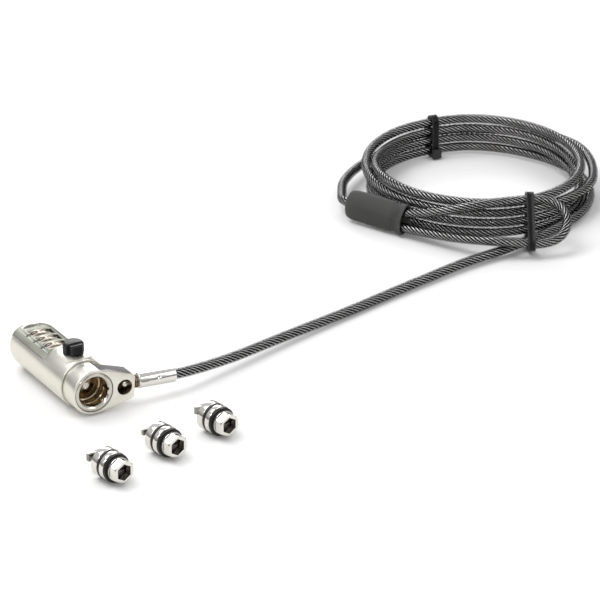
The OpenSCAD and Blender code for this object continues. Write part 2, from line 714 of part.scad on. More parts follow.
module tip_bolt(kind) {
    color([0.8, 0.8, 0.78]) {
        // shank and slotted head
        difference() {
            union() {
                translate([0, 0, 0.2]) cylinder(r = 2.25, h = 9.4);
                translate([0, 0, 9.15]) cylinder(r = 2.75, h = 1.3);
            }
            translate([-4, -0.5, 9.85]) cube([8, 1.0, 3]);
        }
        // neck and foot beyond the flat face
        translate([0, 0, -4.8]) cylinder(r = 1.35, h = 5.2);
        if (kind == kslot) bar_foot([6.4, 2.9, 1.8]);
        if (kind == nano) bar_foot([5.6, 2.2, 1.4]);
        if (kind == wedge) rotate([90, 0, 0]) translate([0, 0, -1.5]) linear_extrude(3)
            polygon([[-1.4, -3.4], [1.4, -3.4], [2.1, -6.2], [-2.1, -6.2]]);
    }
}
ring_color = [0.05, 0.05, 0.05];
module tip_front_ring() {
    color(ring_color) rotate_extrude() polygon([
        [4.95, 7.75], [5.6, 7.75], [5.75, 7.9], [5.75, 8.3], [5.5, 8.45], [5.5, 8.6],
        [5.8, 8.75], [5.8, 9.05], [5.2, 9.05], [5.2, 9.7], [5.0, 9.9], [4.95, 9.9]]);
}
module tip_rear_ring() {
    color(ring_color) translate([0, 0, 4.45]) rotate_extrude() translate([5.42, 0])
        circle(r = 0.68, $fn = 32);
}

function shown(name) = node == "all" || node == name;
if (shown("swivel_collar")) swivel_collar();
if (shown("nose_sleeve")) nose_sleeve();
if (shown("sleeve_pins")) sleeve_pins();
if (shown("barrel_body")) barrel_body();
if (shown("window_plate")) window_plate();
if (shown("rear_cap")) rear_cap();
if (shown("reset_screw")) reset_screw();
if (shown("number_dial_1")) number_dial(0);
if (shown("number_dial_2")) number_dial(1);
if (shown("number_dial_3")) number_dial(2);
if (shown("number_dial_4")) number_dial(3);
if (shown("clutch_ring_1")) clutch_ring(0);
if (shown("clutch_ring_2")) clutch_ring(1);
if (shown("clutch_ring_3")) clutch_ring(2);
if (shown("clutch_ring_4")) clutch_ring(3);
if (shown("detent_spring")) detent_spring();
if (shown("spindle")) spindle();
if (shown("spindle_spring")) spindle_spring();
if (shown("slide_carriage")) slide_carriage();
if (shown("slide_button")) slide_button();
if (shown("locking_bolt")) locking_bolt();
if (shown("swivel_stud")) swivel_stud();
if (shown("swivel_washer")) swivel_washer();
if (shown("cable_ferrule")) cable_ferrule();
if (shown("wire_rope")) wire_rope();
if (shown("vinyl_jacket")) vinyl_jacket();
if (shown("loop_crimp")) loop_crimp();
if (shown("loop_sleeve")) loop_sleeve();
if (shown("cable_tie_rear")) cable_tie_rear();
if (shown("cable_tie_front")) cable_tie_front();
if (shown("kslot_tip_body")) place_tip(kslot) tip_body();
if (shown("kslot_tip_bolt")) place_tip(kslot) tip_bolt(kslot);
if (shown("kslot_tip_front_ring")) place_tip(kslot) tip_front_ring();
if (shown("kslot_tip_rear_ring")) place_tip(kslot) tip_rear_ring();
if (shown("nano_tip_body")) place_tip(nano) tip_body();
if (shown("nano_tip_bolt")) place_tip(nano) tip_bolt(nano);
if (shown("nano_tip_front_ring")) place_tip(nano) tip_front_ring();
if (shown("nano_tip_rear_ring")) place_tip(nano) tip_rear_ring();
if (shown("wedge_tip_body")) place_tip(wedge) tip_body();
if (shown("wedge_tip_bolt")) place_tip(wedge) tip_bolt(wedge);
if (shown("wedge_tip_front_ring")) place_tip(wedge) tip_front_ring();
if (shown("wedge_tip_rear_ring")) place_tip(wedge) tip_rear_ring();
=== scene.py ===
"""A combination laptop lock with its coiled steel cable.

Lengths are in millimetres (times MM on the way into Blender) and angles in degrees.
Model frame: the barrel lies along +Y with its dials up (+Z), and the swivel arm leaves the
origin towards +X, drooping slightly.
Coil frame: the cable, its eye sleeve and its ties are laid out with z = 0 on the floor, x to
the viewer's right and y away from the viewer; to_model() carries them into the model frame.
"""
import math
from contextlib import contextmanager

import bmesh
import bpy
import numpy as np
from mathutils import Matrix, Vector


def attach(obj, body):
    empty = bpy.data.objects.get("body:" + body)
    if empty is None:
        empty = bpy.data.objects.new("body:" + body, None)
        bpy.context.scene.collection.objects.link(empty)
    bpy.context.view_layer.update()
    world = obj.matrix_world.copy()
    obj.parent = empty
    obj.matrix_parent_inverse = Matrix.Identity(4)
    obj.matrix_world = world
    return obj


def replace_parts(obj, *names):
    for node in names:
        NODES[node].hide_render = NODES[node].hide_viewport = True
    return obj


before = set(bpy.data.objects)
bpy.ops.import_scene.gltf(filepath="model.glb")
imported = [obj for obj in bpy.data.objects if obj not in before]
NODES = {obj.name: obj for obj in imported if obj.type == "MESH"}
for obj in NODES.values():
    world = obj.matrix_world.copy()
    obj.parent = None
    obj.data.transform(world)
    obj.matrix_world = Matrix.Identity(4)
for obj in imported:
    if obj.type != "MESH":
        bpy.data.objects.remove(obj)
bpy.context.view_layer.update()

scene = bpy.context.scene
MM = 0.001

FLOOR = -10.3            # floor height in the model frame
YAW = 30.0               # coil frame to model frame, clockwise seen from above
BACK = 2.36              # shift of the coil frame along its own y
DROOP = 3.5              # fall of the swivel arm

JACKET_RADIUS = 2.2
CORE_RADIUS = 1.3
STRAND_RADIUS, STRAND_ORBIT = 0.46, 1.47
STRAND_COUNT, LAY_PITCH = 8, 19.0

DIAL_Y = [29.4 + 6.6 * dial for dial in range(4)]
DIGIT_ANGLE = 36         # between neighbouring numerals on a wheel
RIM_RADIUS = 7.6
TIPS = ("kslot", "nano", "wedge")


# ------------------------------------------------------------ small maths
def cosd(angle):
    return math.cos(math.radians(angle))


def sind(angle):
    return math.sin(math.radians(angle))


def unit(vector):
    vector = np.asarray(vector, float)
    return vector / np.linalg.norm(vector)


def unit_rows(vectors):
    return vectors / np.linalg.norm(vectors, axis=1)[:, None]


def smoothstep(start, end, x):
    t = min(max((x - start) / (end - start), 0.0), 1.0)
    return t * t * (3 - 2 * t)


def turned(vectors):
    """Coil-frame directions in the model frame."""
    x, y, z = np.moveaxis(np.asarray(vectors, float), -1, 0)
    return np.stack([x * cosd(YAW) + y * sind(YAW), -x * sind(YAW) + y * cosd(YAW), z], -1)


def to_model(points):
    """Coil-frame points in the model frame."""
    return turned(np.asarray(points, float) + [0, BACK, FLOOR])


AWAY = turned([0, 1, 0]).tolist()    # level, away from the viewer


# ------------------------------------------------------------ the cable's centre line
STEP = 4.6                           # from one turn's centre to the next
ROW_0 = 3.45                         # height of the lowest row
COIL_X, COIL_Y = 164.0, 229.5        # centre of the coil
LEAD_ANGLE, EXIT_ANGLE = -40, 140    # where the cable joins and leaves the coil
TURN_START, TURN_END = -60, 300
TURN_INCREMENT = 2.5
SPLINE_STEPS = 12                    # points for each span of a spline

SLEEVE_CENTRE = np.array([115.9, 191.4, 7.6])
SLEEVE_AXIS = unit([0.783, -0.622, 0])
SLEEVE_ROLL = 22
SLEEVE_WIDE = np.array([0.622 * sind(SLEEVE_ROLL), 0.783 * sind(SLEEVE_ROLL),
                        cosd(SLEEVE_ROLL)])
SLEEVE_THIN = np.cross(SLEEVE_AXIS, SLEEVE_WIDE)
SLEEVE_HALF = 16.0                   # half the sleeve's length

ARCH_CENTRE = np.array([188, 166.4, 13.3])    # of the eye's far bend
ARCH_REACH = np.array([11.2, 0.6, 0])
ARCH_SPREAD = np.array([0, 9.2, 6.6])

# x, y, z of the run over the floor from the arm to the coil
LEAD_RUN = [
    [52, 40.6, 5.1], [76.2, 67.2, 3.5], [101, 92.8, 2.6], [126, 118.5, 2.5],
    [153, 144, 3], [172, 158.5, 3.45], [188, 174, 3.45],
]
# from the coil to the sleeve, then the eye's upper leg and its lower leg
SLEEVE_RUN = [[108.6, 248.5, 6.1], [101.9, 231, 6.3], [100.6, 216, 6.9]]
UPPER_LEG = [[143.5, 174.2, 14.6], [156, 171.6, 18.2], [171, 173.4, 19.6]]
LOWER_LEG = [[177, 156.3, 7.4], [166, 156.3, 8.1], [155, 161.6, 6.9], [143.5, 169.2, 5.4]]


def coil_radius(angle):
    return 52.3 - 7.5 * max(0, cosd(angle - 10)) ** 1.6 - 2.2 * max(0, cosd(angle - 185))


def turn_shift(turn, angle):
    """Outward shift in mm and height in rows of one of the five turns."""
    climb = 90 * smoothstep(-20, 75, angle)
    swap = 180 * smoothstep(110, 235, angle) - 90    # turns 3 and 4 change places
    if turn == 1:
        return STEP * cosd(climb), 0.0
    if turn == 2:
        return 0.0, sind(climb)
    if turn == 3:
        return -STEP / 2 * cosd(swap), 1.5 + sind(climb) + 0.5 * sind(swap)
    if turn == 4:
        return STEP / 2 * cosd(swap), 2.5 - 0.5 * sind(swap)
    out = (STEP + 0.9) * smoothstep(-62, -12, angle) + 3.5 * math.exp(-((angle - 40) / 30) ** 2)
    return out, 2 - 0.6 * smoothstep(20, 90, angle) - 0.75 * smoothstep(80, 130, angle)


def turn_section(turn, angle):
    """Distance from the coil's axis and height of a turn's centre."""
    out, row = turn_shift(turn, angle)
    return coil_radius(angle) + out, ROW_0 + STEP * row


def turn_point(turn, angle):
    radius, z = turn_section(turn, angle)
    return np.array([COIL_X + radius * cosd(angle), COIL_Y + radius * sind(angle), z])


def turn_direction(turn, angle):
    return unit(turn_point(turn, angle + 0.5) - turn_point(turn, angle))


def arm_point(along):
    """A point on the drooping arm's axis, in the coil frame."""
    x, y, z = along * cosd(DROOP), 3.75, -along * sind(DROOP) - FLOOR
    return np.array([x * cosd(YAW) - y * sind(YAW), x * sind(YAW) + y * cosd(YAW) - BACK, z])


def in_sleeve(along, wide):
    return SLEEVE_CENTRE + along * SLEEVE_AXIS + wide * SLEEVE_WIDE


def spline(points, start_tangent, end_tangent):
    """Hermite spline through the points, without its last point."""
    points = [np.asarray(p, float) for p in points]
    middle = [(after - before) / 2 for before, after in zip(points, points[2:])]
    tangents = [start_tangent, *middle, end_tangent]
    path = []
    for i in range(len(points) - 1):
        for j in range(SPLINE_STEPS):
            t = j / SPLINE_STEPS
            path.append((2 * t**3 - 3 * t * t + 1) * points[i]
                        + (t**3 - 2 * t * t + t) * tangents[i]
                        + (3 * t * t - 2 * t**3) * points[i + 1]
                        + (t**3 - t * t) * tangents[i + 1])
    return path


def cable_line():
    """From inside the arm, round the five turns, and through the eye back to its sleeve."""
    path = [arm_point(25.2), arm_point(31.4)]
    arm_direction = unit(arm_point(2) - arm_point(1))
    path += spline([arm_point(37.8), *LEAD_RUN, turn_point(1, LEAD_ANGLE)],
                   19 * arm_direction, 22 * turn_direction(1, LEAD_ANGLE))
    for turn in range(1, 6):
        angle = LEAD_ANGLE if turn == 1 else TURN_START
        end = EXIT_ANGLE if turn == 5 else TURN_END
        while angle < end - 1e-6:
            path.append(turn_point(turn, angle))
            angle += TURN_INCREMENT
    arch = [ARCH_CENTRE + ARCH_REACH * sind(t) + ARCH_SPREAD * cosd(t)
            for t in (0, 45, 90, 135, 180)]
    cable_end = in_sleeve(-1, -2.5)
    eye = [turn_point(5, EXIT_ANGLE), *SLEEVE_RUN,
           in_sleeve(-18.2, 0) + np.array([0, 1.2, 0]), in_sleeve(-7, 1.8),
           in_sleeve(4, 2.6), in_sleeve(SLEEVE_HALF, 3.2), *UPPER_LEG, *arch, *LOWER_LEG,
           in_sleeve(SLEEVE_HALF + 1, -3.3), in_sleeve(5, -2.7), cable_end]
    path += spline(eye, 18 * turn_direction(5, EXIT_ANGLE), -6 * SLEEVE_AXIS)
    return np.array(path + [cable_end])


def resample(path, spacing):
    """Even points along a path, lightly smoothed, and their distances along it."""
    length = np.r_[0, np.cumsum(np.linalg.norm(np.diff(path, axis=0), axis=1))]
    distance = np.linspace(0, length[-1], int(round(length[-1] / spacing)) + 1)
    points = np.stack([np.interp(distance, length, path[:, i]) for i in range(3)], 1)
    for _ in range(2):
        points[1:-1] = 0.25 * points[:-2] + 0.5 * points[1:-1] + 0.25 * points[2:]
    return points, distance


def path_frames(points):
    """Normals and binormals carried along a path without twist, starting upwards."""
    tangents = unit_rows(np.gradient(points, axis=0))
    normals = np.zeros_like(tangents)
    normal = np.array([0.0, 0.0, 1.0])
    for i, tangent in enumerate(tangents):
        normal = unit(normal - (normal @ tangent) * tangent)
        normals[i] = normal
    return normals, np.cross(tangents, normals)


# ------------------------------------------------------------ mesh helpers
@contextmanager
def editing(mesh):
    bm = bmesh.new()
    bm.from_mesh(mesh)
    yield bm
    bm.to_mesh(mesh)
    bm.free()


def take_arrays(bm):
    """Vertices and faces of a bmesh, which is then freed."""
    bm.verts.index_update()
    verts = np.array([v.co[:] for v in bm.verts])
    faces = [[v.index for v in face.verts] for face in bm.faces]
    bm.free()
    return verts, faces


def loft(rings, closed=False):
    """Skin over equal rings of points, capped at both ends or closed into a hoop."""
    rings = np.asarray(rings, float)
    count, sides = rings.shape[:2]
    start = np.arange(count if closed else count - 1)[:, None] * sides
    after = (start + sides) % (count * sides)
    j = np.arange(sides)[None, :]
    j_next = (j + 1) % sides
    faces = np.stack([start + j, start + j_next, after + j_next, after + j], -1)
    faces = faces.reshape(-1, 4).tolist()
    if not closed:
        faces.append(list(range(sides - 1, -1, -1)))
        faces.append([(count - 1) * sides + i for i in range(sides)])
    return rings.reshape(-1, 3), faces


def section_angles(sides):
    return 2 * np.pi * np.arange(sides) / sides


def sweep(points, normals, binormals, radius, sides):
    """A round section carried along a path with given frames."""
    cos = np.cos(section_angles(sides))[None, :, None]
    sin = np.sin(section_angles(sides))[None, :, None]
    return loft(points[:, None] + radius * (cos * normals[:, None] + sin * binormals[:, None]))


def merge(parts):
    verts, faces, offset = [], [], 0
    for part_verts, part_faces in parts:
        verts.append(part_verts)
        faces += [[i + offset for i in face] for face in part_faces]
        offset += len(part_verts)
    return np.vstack(verts), faces


def link_object(name, data):
    ob = bpy.data.objects.new(name, data)
    scene.collection.objects.link(ob)
    return ob


def shade_smooth(mesh):
    mesh.polygons.foreach_set("use_smooth", np.ones(len(mesh.polygons), bool))


def shade_with_sharp(mesh, angle):
    shade_smooth(mesh)
    mesh.set_sharp_from_angle(angle=math.radians(angle))


def fix_normals(mesh):
    with editing(mesh) as bm:
        bmesh.ops.recalc_face_normals(bm, faces=bm.faces)
    mesh.update()


def add_object(name, verts, faces, body, material, slot, smooth=True):
    mesh = bpy.data.meshes.new(name)
    mesh.from_pydata((verts * MM).tolist(), [], [tuple(int(i) for i in f) for f in faces])
    mesh.update()
    if smooth:
        shade_smooth(mesh)
    ob = link_object(name, mesh)
    mesh.materials.append(material)
    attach(ob, body)
    return ob


def add_cable_part(name, verts, faces, material, slot):
    """An object of the cable, from coil-frame points."""
    return add_object(name, to_model(verts), faces, "cable", material, slot)


def modify(ob, kind, **settings):
    modifier = ob.modifiers.new(kind, kind)
    for key, value in settings.items():
        setattr(modifier, key, value)


def bake(ob):
    """Applies the object's modifiers to its mesh."""
    bpy.context.view_layer.update()
    graph = bpy.context.evaluated_depsgraph_get()
    mesh = bpy.data.meshes.new_from_object(ob.evaluated_get(graph),
                                           preserve_all_data_layers=True, depsgraph=graph)
    ob.modifiers.clear()
    ob.data = mesh


def welded(node_name):
    """A welded, smooth working copy of a CAD mesh."""
    mesh = NODES[node_name].data.copy()
    mesh.materials.clear()
    with editing(mesh) as bm:
        bmesh.ops.remove_doubles(bm, verts=bm.verts, dist=2e-6)
        bmesh.ops.recalc_face_normals(bm, faces=bm.faces)
        for face in bm.faces:
            face.smooth = True
        for edge in bm.edges:
            edge.smooth = True
    return mesh


def stand_in(ob, node_name, material, body):
    """Gives a finished copy its material and puts it in the CAD piece's place."""
    ob.data.materials.clear()
    ob.data.materials.append(material)
    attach(ob, body)
    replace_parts(ob, node_name)


def bevel_copy(node_name, name, width, material, body, segments=2):
    """The CAD piece's own shape with its edges rounded."""
    mesh = welded(node_name)
    with editing(mesh) as bm:
        bmesh.ops.dissolve_limit(bm, angle_limit=math.radians(0.8),
                                 verts=bm.verts, edges=bm.edges)
    ob = link_object(name, mesh)
    modify(ob, "BEVEL", width=width * MM, segments=segments, limit_method="ANGLE",
           angle_limit=math.radians(30), use_clamp_overlap=True,
           miter_outer="MITER_ARC", harden_normals=False)
    bake(ob)
    shade_with_sharp(ob.data, 38)
    stand_in(ob, node_name, material, body)
    return ob


# ------------------------------------------------------------ shader helpers
# An input may be a value or another node's output socket.
def node(tree, kind, inputs=None, **settings):
    new = tree.nodes.new("ShaderNode" + kind)
    for key, value in settings.items():
        setattr(new, key, value)
    for key, value in (inputs or {}).items():
        if isinstance(value, bpy.types.NodeSocket):
            tree.links.new(value, new.inputs[key])
        else:
            new.inputs[key].default_value = value
    return new


def empty_tree(owner):
    owner.use_nodes = True
    owner.node_tree.nodes.clear()
    return owner.node_tree


def coordinates(tree, kind="Object"):
    return node(tree, "TexCoord").outputs[kind]


def noise(tree, vector, scale, detail):
    inputs = {"Vector": vector, "Scale": scale, "Detail": detail}
    return node(tree, "TexNoise", inputs).outputs["Fac"]


def ramp(tree, factor, stops):
    """Colour ramp; each stop is (position, grey level or RGB)."""
    new = node(tree, "ValToRGB", {"Fac": factor})
    elements = new.color_ramp.elements
    while len(elements) < len(stops):
        elements.new(0.5)
    for element, (position, colour) in zip(elements, stops):
        element.position = position
        element.color = (*np.broadcast_to(np.asarray(colour, float), (3,)), 1)
    return new.outputs["Color"]


def mix(tree, factor, first, second, blend="MIX"):
    # sockets 6 and 7 are the colour inputs, output 2 the colour result
    return node(tree, "Mix", {0: factor, 6: first, 7: second},
                data_type="RGBA", blend_type=blend).outputs[2]


def calculate(tree, operation, first, second):
    return node(tree, "Math", {0: first, 1: second}, operation=operation).outputs[0]


def vector_value(tree, operation, first, second):
    new = node(tree, "VectorMath", {0: first, 1: second}, operation=operation)
    return new.outputs["Value"]


def bumped(tree, height, strength, depth):
    inputs = {"Height": height, "Strength": strength, "Distance": depth * MM}
    return node(tree, "Bump", inputs).outputs[0]


def surface(name, colour, metallic=0.0, rough=0.4, var=0.08, grain=0.25, bump=0.02,
            rough_var=0.1, blotch=4.0, scratches=0.0, specular=0.5, edge=0.0,
            painted_shade=0.0, painted_shade_reach=1.2, tone=None):
    """Opaque material with blotches, fine grain, light edges and painted shade in crevices.

    grain, blotch, bump and the painted crevice shade's reach are in mm; var and rough_var are
    spreads of colour and roughness; scratches, edge and the painted crevice shade are
    strengths; tone(tree, colour) recolours the result.
    """
    material = bpy.data.materials.new(name)
    tree = empty_tree(material)
    coords = coordinates(tree)
    height = noise(tree, coords, scale=1000.0 / grain, detail=3)
    blotches = noise(tree, coords, scale=1000.0 / blotch, detail=4)
    base = np.array(colour, float)
    shade = ramp(tree, blotches, [(0.3, np.clip(base * (1 - var), 0, 1)),
                                  (0.7, np.clip(base * (1 + var), 0, 1))])
    if edge > 0:
        pointiness = node(tree, "NewGeometry").outputs["Pointiness"]
        edges = ramp(tree, pointiness, [(0.49, 0), (0.56, 1)])
        amount = calculate(tree, "MULTIPLY", edges, edge)
        shade = mix(tree, amount, shade, (*np.clip(base * 1.5 + 0.05, 0, 1), 1))
    if painted_shade > 0:
        # painted shade: ambient occlusion darkens the colour in crevices
        occlusion = node(tree, "AmbientOcclusion", {"Distance": painted_shade_reach * MM}, samples=4)
        dark = ramp(tree, occlusion.outputs["AO"], [(0.35, 1 - painted_shade), (0.9, 1)])
        shade = mix(tree, 1, shade, dark, "MULTIPLY")
    roughness = ramp(tree, blotches, [(0.25, max(0.02, rough - rough_var)),
                                      (0.75, min(1, rough + rough_var))])
    if scratches > 0:
        # noise drawn out along y
        stretched = node(tree, "Mapping", {"Vector": coords, "Scale": (1, 0.04, 1)})
        lines = noise(tree, stretched.outputs[0], scale=9000, detail=2)
        height = node(tree, "Mix", {0: scratches, 2: height, 3: lines},
                      data_type="FLOAT").outputs[0]
    normal = bumped(tree, height, strength=1.0, depth=bump)
    if tone:
        shade = tone(tree, shade)
    shader = node(tree, "BsdfPrincipled", {
        "Base Color": shade, "Metallic": metallic, "Roughness": roughness,
        "Specular IOR Level": specular, "Normal": normal})
    node(tree, "OutputMaterial", {"Surface": shader.outputs[0]})
    return material


# ------------------------------------------------------------ materials
def arm_painted_shade_and_reflection(tree, colour):
    """Painted shade: darker, browner inside the arm's round window; painted dark reflection:
    darker grey on its flat top.
    """
    window_along, window_radius = 13.6, 3.42
    window_y = (0.35, 6.6)
    window_painted_shade = (0.17, 0.125, 0.09, 1)
    top_tilt, top_min_cosine = 18.5, 0.9985
    top_painted_reflection = (0.20, 0.185, 0.195, 1)

    split = node(tree, "SeparateXYZ", {0: coordinates(tree)}).outputs
    flat = node(tree, "CombineXYZ", {"X": split["X"], "Z": split["Z"]}).outputs[0]
    centre = (window_along * cosd(DROOP) * MM, 0, -window_along * sind(DROOP) * MM)
    distance = vector_value(tree, "DISTANCE", flat, centre)
    near = calculate(tree, "LESS_THAN", distance, window_radius * MM)
    above = calculate(tree, "GREATER_THAN", split["Y"], window_y[0] * MM)
    below = calculate(tree, "LESS_THAN", split["Y"], window_y[1] * MM)
    # inside the round window: painted shade
    inside = calculate(tree, "MULTIPLY", calculate(tree, "MULTIPLY", near, above), below)
    colour = mix(tree, inside, colour, window_painted_shade)

    # the flat top facet: painted dark reflection
    facing = vector_value(tree, "DOT_PRODUCT",
                          node(tree, "NewGeometry").outputs["True Normal"],
                          (sind(top_tilt), 0, cosd(top_tilt)))
    painted_reflection_mask = calculate(tree, "GREATER_THAN", facing, top_min_cosine)
    return mix(tree, painted_reflection_mask, colour, top_painted_reflection)


def bore_painted_shade(tree, colour):
    """The flange keeps the bright plating; further along y it turns to the bore's darker brown,
    painted shade inside the bore.
    """
    y = node(tree, "SeparateXYZ", {0: coordinates(tree)}).outputs["Y"]
    centimetres = calculate(tree, "MULTIPLY", y, 100.0)
    depth = ramp(tree, centimetres, [(0.055, 0), (0.11, 1), (0.9, 1)])
    return mix(tree, depth, (0.64, 0.615, 0.56, 1), colour)


def strand_painted_light(tree, colour):
    """Painted shade between the strands, painted highlight along their crests."""
    crest = node(tree, "Attribute", attribute_name="crest").outputs["Fac"]
    return mix(tree, 1, colour, ramp(tree, crest, [(0.45, 0.015), (0.80, 0.45), (1.0, 1.0)]),
               "MULTIPLY")


# the crevice darkening in these materials is painted shade
PLATING = dict(colour=(0.81, 0.785, 0.71), metallic=0.95, rough=0.33, var=0.02, grain=0.16,
               bump=0.006, rough_var=0.05, blotch=9, edge=0.25, painted_shade=0.5)
NICKEL = surface("satin_nickel", **PLATING)
# the arm's plating, with painted shade in its window and a painted dark reflection on its flat
# top
ARM_NICKEL_PAINTED_LIGHT = surface("satin_nickel_arm_painted_light", **PLATING, tone=arm_painted_shade_and_reflection)
PANEL = surface("panel_grey", (0.25, 0.255, 0.215), metallic=0.85, rough=0.38, var=0.03,
                grain=0.2, bump=0.006, rough_var=0.06, blotch=6, painted_shade=0.5)
CHROME = surface("polished_chrome", (0.82, 0.80, 0.77), metallic=1.0, rough=0.07, var=0.02,
                 grain=0.5, bump=0.002, rough_var=0.03, blotch=3, painted_shade=0.25)
STEEL = surface("bright_steel", (0.60, 0.59, 0.57), metallic=1.0, rough=0.22, var=0.05,
                grain=0.3, bump=0.004, rough_var=0.06, blotch=2, scratches=0.5, painted_shade=0.3)
# its brown colour is painted shade inside the bore
BORE_PAINTED_SHADE = surface("bore_chrome_painted_shade", (0.50, 0.41, 0.29), metallic=1.0, rough=0.18, var=0.12,
               grain=0.4, bump=0.004, rough_var=0.06, blotch=2.5, painted_shade=0.6, tone=bore_painted_shade)
TIP = surface("tip_chrome", (0.80, 0.785, 0.75), metallic=1.0, rough=0.10, var=0.03,
              grain=0.5, bump=0.003, rough_var=0.03, blotch=3, painted_shade=0.8, painted_shade_reach=3.2)
# darker steel: partly the bolts' own tone, partly painted shade for the bolt head seen down in
# its hex socket
BOLT = surface("bolt_steel_and_socket_shade", (0.30, 0.28, 0.265), metallic=1.0, rough=0.24, var=0.08,
               grain=0.3, bump=0.005, rough_var=0.06, blotch=1.5, scratches=0.5,
               painted_shade=0.85, painted_shade_reach=3.2)
BRASS = surface("machined_brass", (0.60, 0.42, 0.17), metallic=1.0, rough=0.25, var=0.06,
                grain=0.3, bump=0.004, blotch=2, scratches=0.5)
DIAL = surface("dial_metal", (0.50, 0.43, 0.36), metallic=0.9, rough=0.34, var=0.05,
               grain=0.2, bump=0.006, rough_var=0.08, blotch=3, painted_shade=0.35)
BUTTON = surface("button_plastic", (0.006, 0.006, 0.007), rough=0.34, specular=0.25,
                 var=0.15, grain=0.22, bump=0.012, rough_var=0.06, blotch=5, edge=0.5)
TIE = surface("tie_nylon", (0.006, 0.006, 0.0065), rough=0.32, specular=0.18, var=0.15,
              grain=0.4, bump=0.015, rough_var=0.08, blotch=4, edge=0.6)
RUBBER = surface("sleeve_rubber", (0.038, 0.038, 0.037), rough=0.56, specular=0.3, var=0.08,
                 grain=0.30, bump=0.02, rough_var=0.06, blotch=7, edge=0.6)
SEAL = surface("seal_rubber", (0.012, 0.012, 0.012), rough=0.45, var=0.2, grain=0.3,
               bump=0.01, blotch=2)
WASHER = surface("dark_washer", (0.25, 0.19, 0.15), metallic=0.9, rough=0.32, var=0.2,
                 grain=0.3, bump=0.01, blotch=2)
INK = surface("black_ink", (0.010, 0.010, 0.010), rough=0.5, var=0.2, grain=0.3,
              bump=0.004, blotch=1.5)
# near-black core: painted shade showing in the gaps between the strands
CORE_PAINTED_SHADE = surface("rope_core_painted_shade", (0.010, 0.010, 0.0105), rough=0.6, specular=0.2, var=0.2,
               grain=0.3, bump=0.01, blotch=3)
# steel strands with a painted highlight on their crests and painted shade between them
ROPE_PAINTED_LIGHT = surface("rope_steel_painted_light", (0.96, 0.96, 0.94), metallic=1.0, rough=0.22, var=0.10,
               grain=0.35, bump=0.004, rough_var=0.05, blotch=6, tone=strand_painted_light)


def smoke_vinyl():
    """Smoke-tinted clear jacket: light passes through tinted, with a glossy skin."""
    material = bpy.data.materials.new("smoke_vinyl")
    tree = empty_tree(material)
    coords = coordinates(tree)
    tint = ramp(tree, noise(tree, coords, scale=220, detail=3),
                [(0.3, (0.68, 0.68, 0.685)), (0.7, (0.78, 0.78, 0.785))])
    clear = node(tree, "BsdfTransparent", {"Color": tint})
    ripples = noise(tree, coords, scale=260, detail=1)
    skin = node(tree, "BsdfPrincipled", {
        "Base Color": (0.006, 0.006, 0.0065, 1), "Roughness": 0.13,
        "Specular IOR Level": 0.5,
        "Normal": bumped(tree, ripples, strength=0.5, depth=0.02)})
    facing = node(tree, "LayerWeight", {"Blend": 0.32}).outputs["Facing"]
    # more skin and less see-through towards the grazing edges
    share = ramp(tree, facing, [(0.0, 0.05), (0.55, 0.10), (1.0, 0.50)])
    both = node(tree, "MixShader", {"Fac": share, 1: clear.outputs[0], 2: skin.outputs[0]})
    node(tree, "OutputMaterial", {"Surface": both.outputs[0]})
    return material


VINYL = smoke_vinyl()


# ------------------------------------------------------------ cable
def build_jacket(line):
    points, _ = resample(line, 1.4)
    verts, faces = sweep(points, *path_frames(points), JACKET_RADIUS, 20)
    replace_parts(add_cable_part("cable_jacket", verts, faces, VINYL, "vinyl"), "vinyl_jacket")


def build_rope(line):
    """Strands laid round a core, both one point shorter than the line at each end."""
    sides = 8
    inner = slice(1, -1)
    points, distance = resample(line, 1.1)
    normals, binormals = path_frames(points)
    strands = []
    for i in range(STRAND_COUNT):
        phase = 2 * np.pi * (i / STRAND_COUNT) + 2 * np.pi * distance / LAY_PITCH
        outward = np.cos(phase)[:, None] * normals + np.sin(phase)[:, None] * binormals
        centres = points + STRAND_ORBIT * outward
        tangents = unit_rows(np.gradient(centres, axis=0))
        along = np.einsum("ij,ij->i", outward, tangents)[:, None]
        strand_normals = unit_rows(outward - along * tangents)
        strands.append(sweep(centres[inner], strand_normals[inner],
                             np.cross(tangents, strand_normals)[inner],
                             STRAND_RADIUS, sides))
    rope = add_cable_part("rope_strands", *merge(strands), ROPE_PAINTED_LIGHT, "rope")
    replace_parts(rope, "wire_rope")
    # how far each point looks outwards, which sets the painted highlight on the crests and the
    # painted shade between the strands
    outwardness = np.clip(np.cos(section_angles(sides)), 0, 1)
    crest = rope.data.attributes.new("crest", "FLOAT", "POINT")
    repeats = len(rope.data.vertices) // sides
    crest.data.foreach_set("value", np.tile(outwardness, repeats).astype(np.float32))

    # the near-black core under the strands is painted shade in their gaps
    verts, faces = sweep(points[inner], *path_frames(points[inner]), CORE_RADIUS, 10)
    add_cable_part("rope_core_painted_shade", verts, faces, CORE_PAINTED_SHADE, "rope")


# ------------------------------------------------------------ sleeve of the eye
SLEEVE_HALF_WIDTH, SLEEVE_HALF_THICKNESS = 6.85, 4.0
# along the axis, width factor, thickness factor
SLEEVE_STATIONS = [
    (-16.0, 0.60, 0.50), (-15.7, 0.74, 0.66), (-15.0, 0.86, 0.80), (-13.6, 0.95, 0.93),
    (-11.5, 0.99, 0.985), (-6, 1, 1), (0, 1, 1), (5.0, 1, 1),
    # groove and lip
    (8.2, 0.99, 0.97), (9.4, 0.955, 0.90), (10.5, 0.92, 0.82), (11.7, 0.91, 0.79),
    (12.9, 0.94, 0.84), (13.9, 1.0, 0.94), (14.7, 1.03, 1.0), (15.4, 1.03, 1.0),
    (15.8, 1.01, 0.98), (16.0, 0.97, 0.94),
    # recessed mouth
    (15.9, 0.86, 0.76), (15.4, 0.83, 0.72), (13.5, 0.81, 0.70),
]


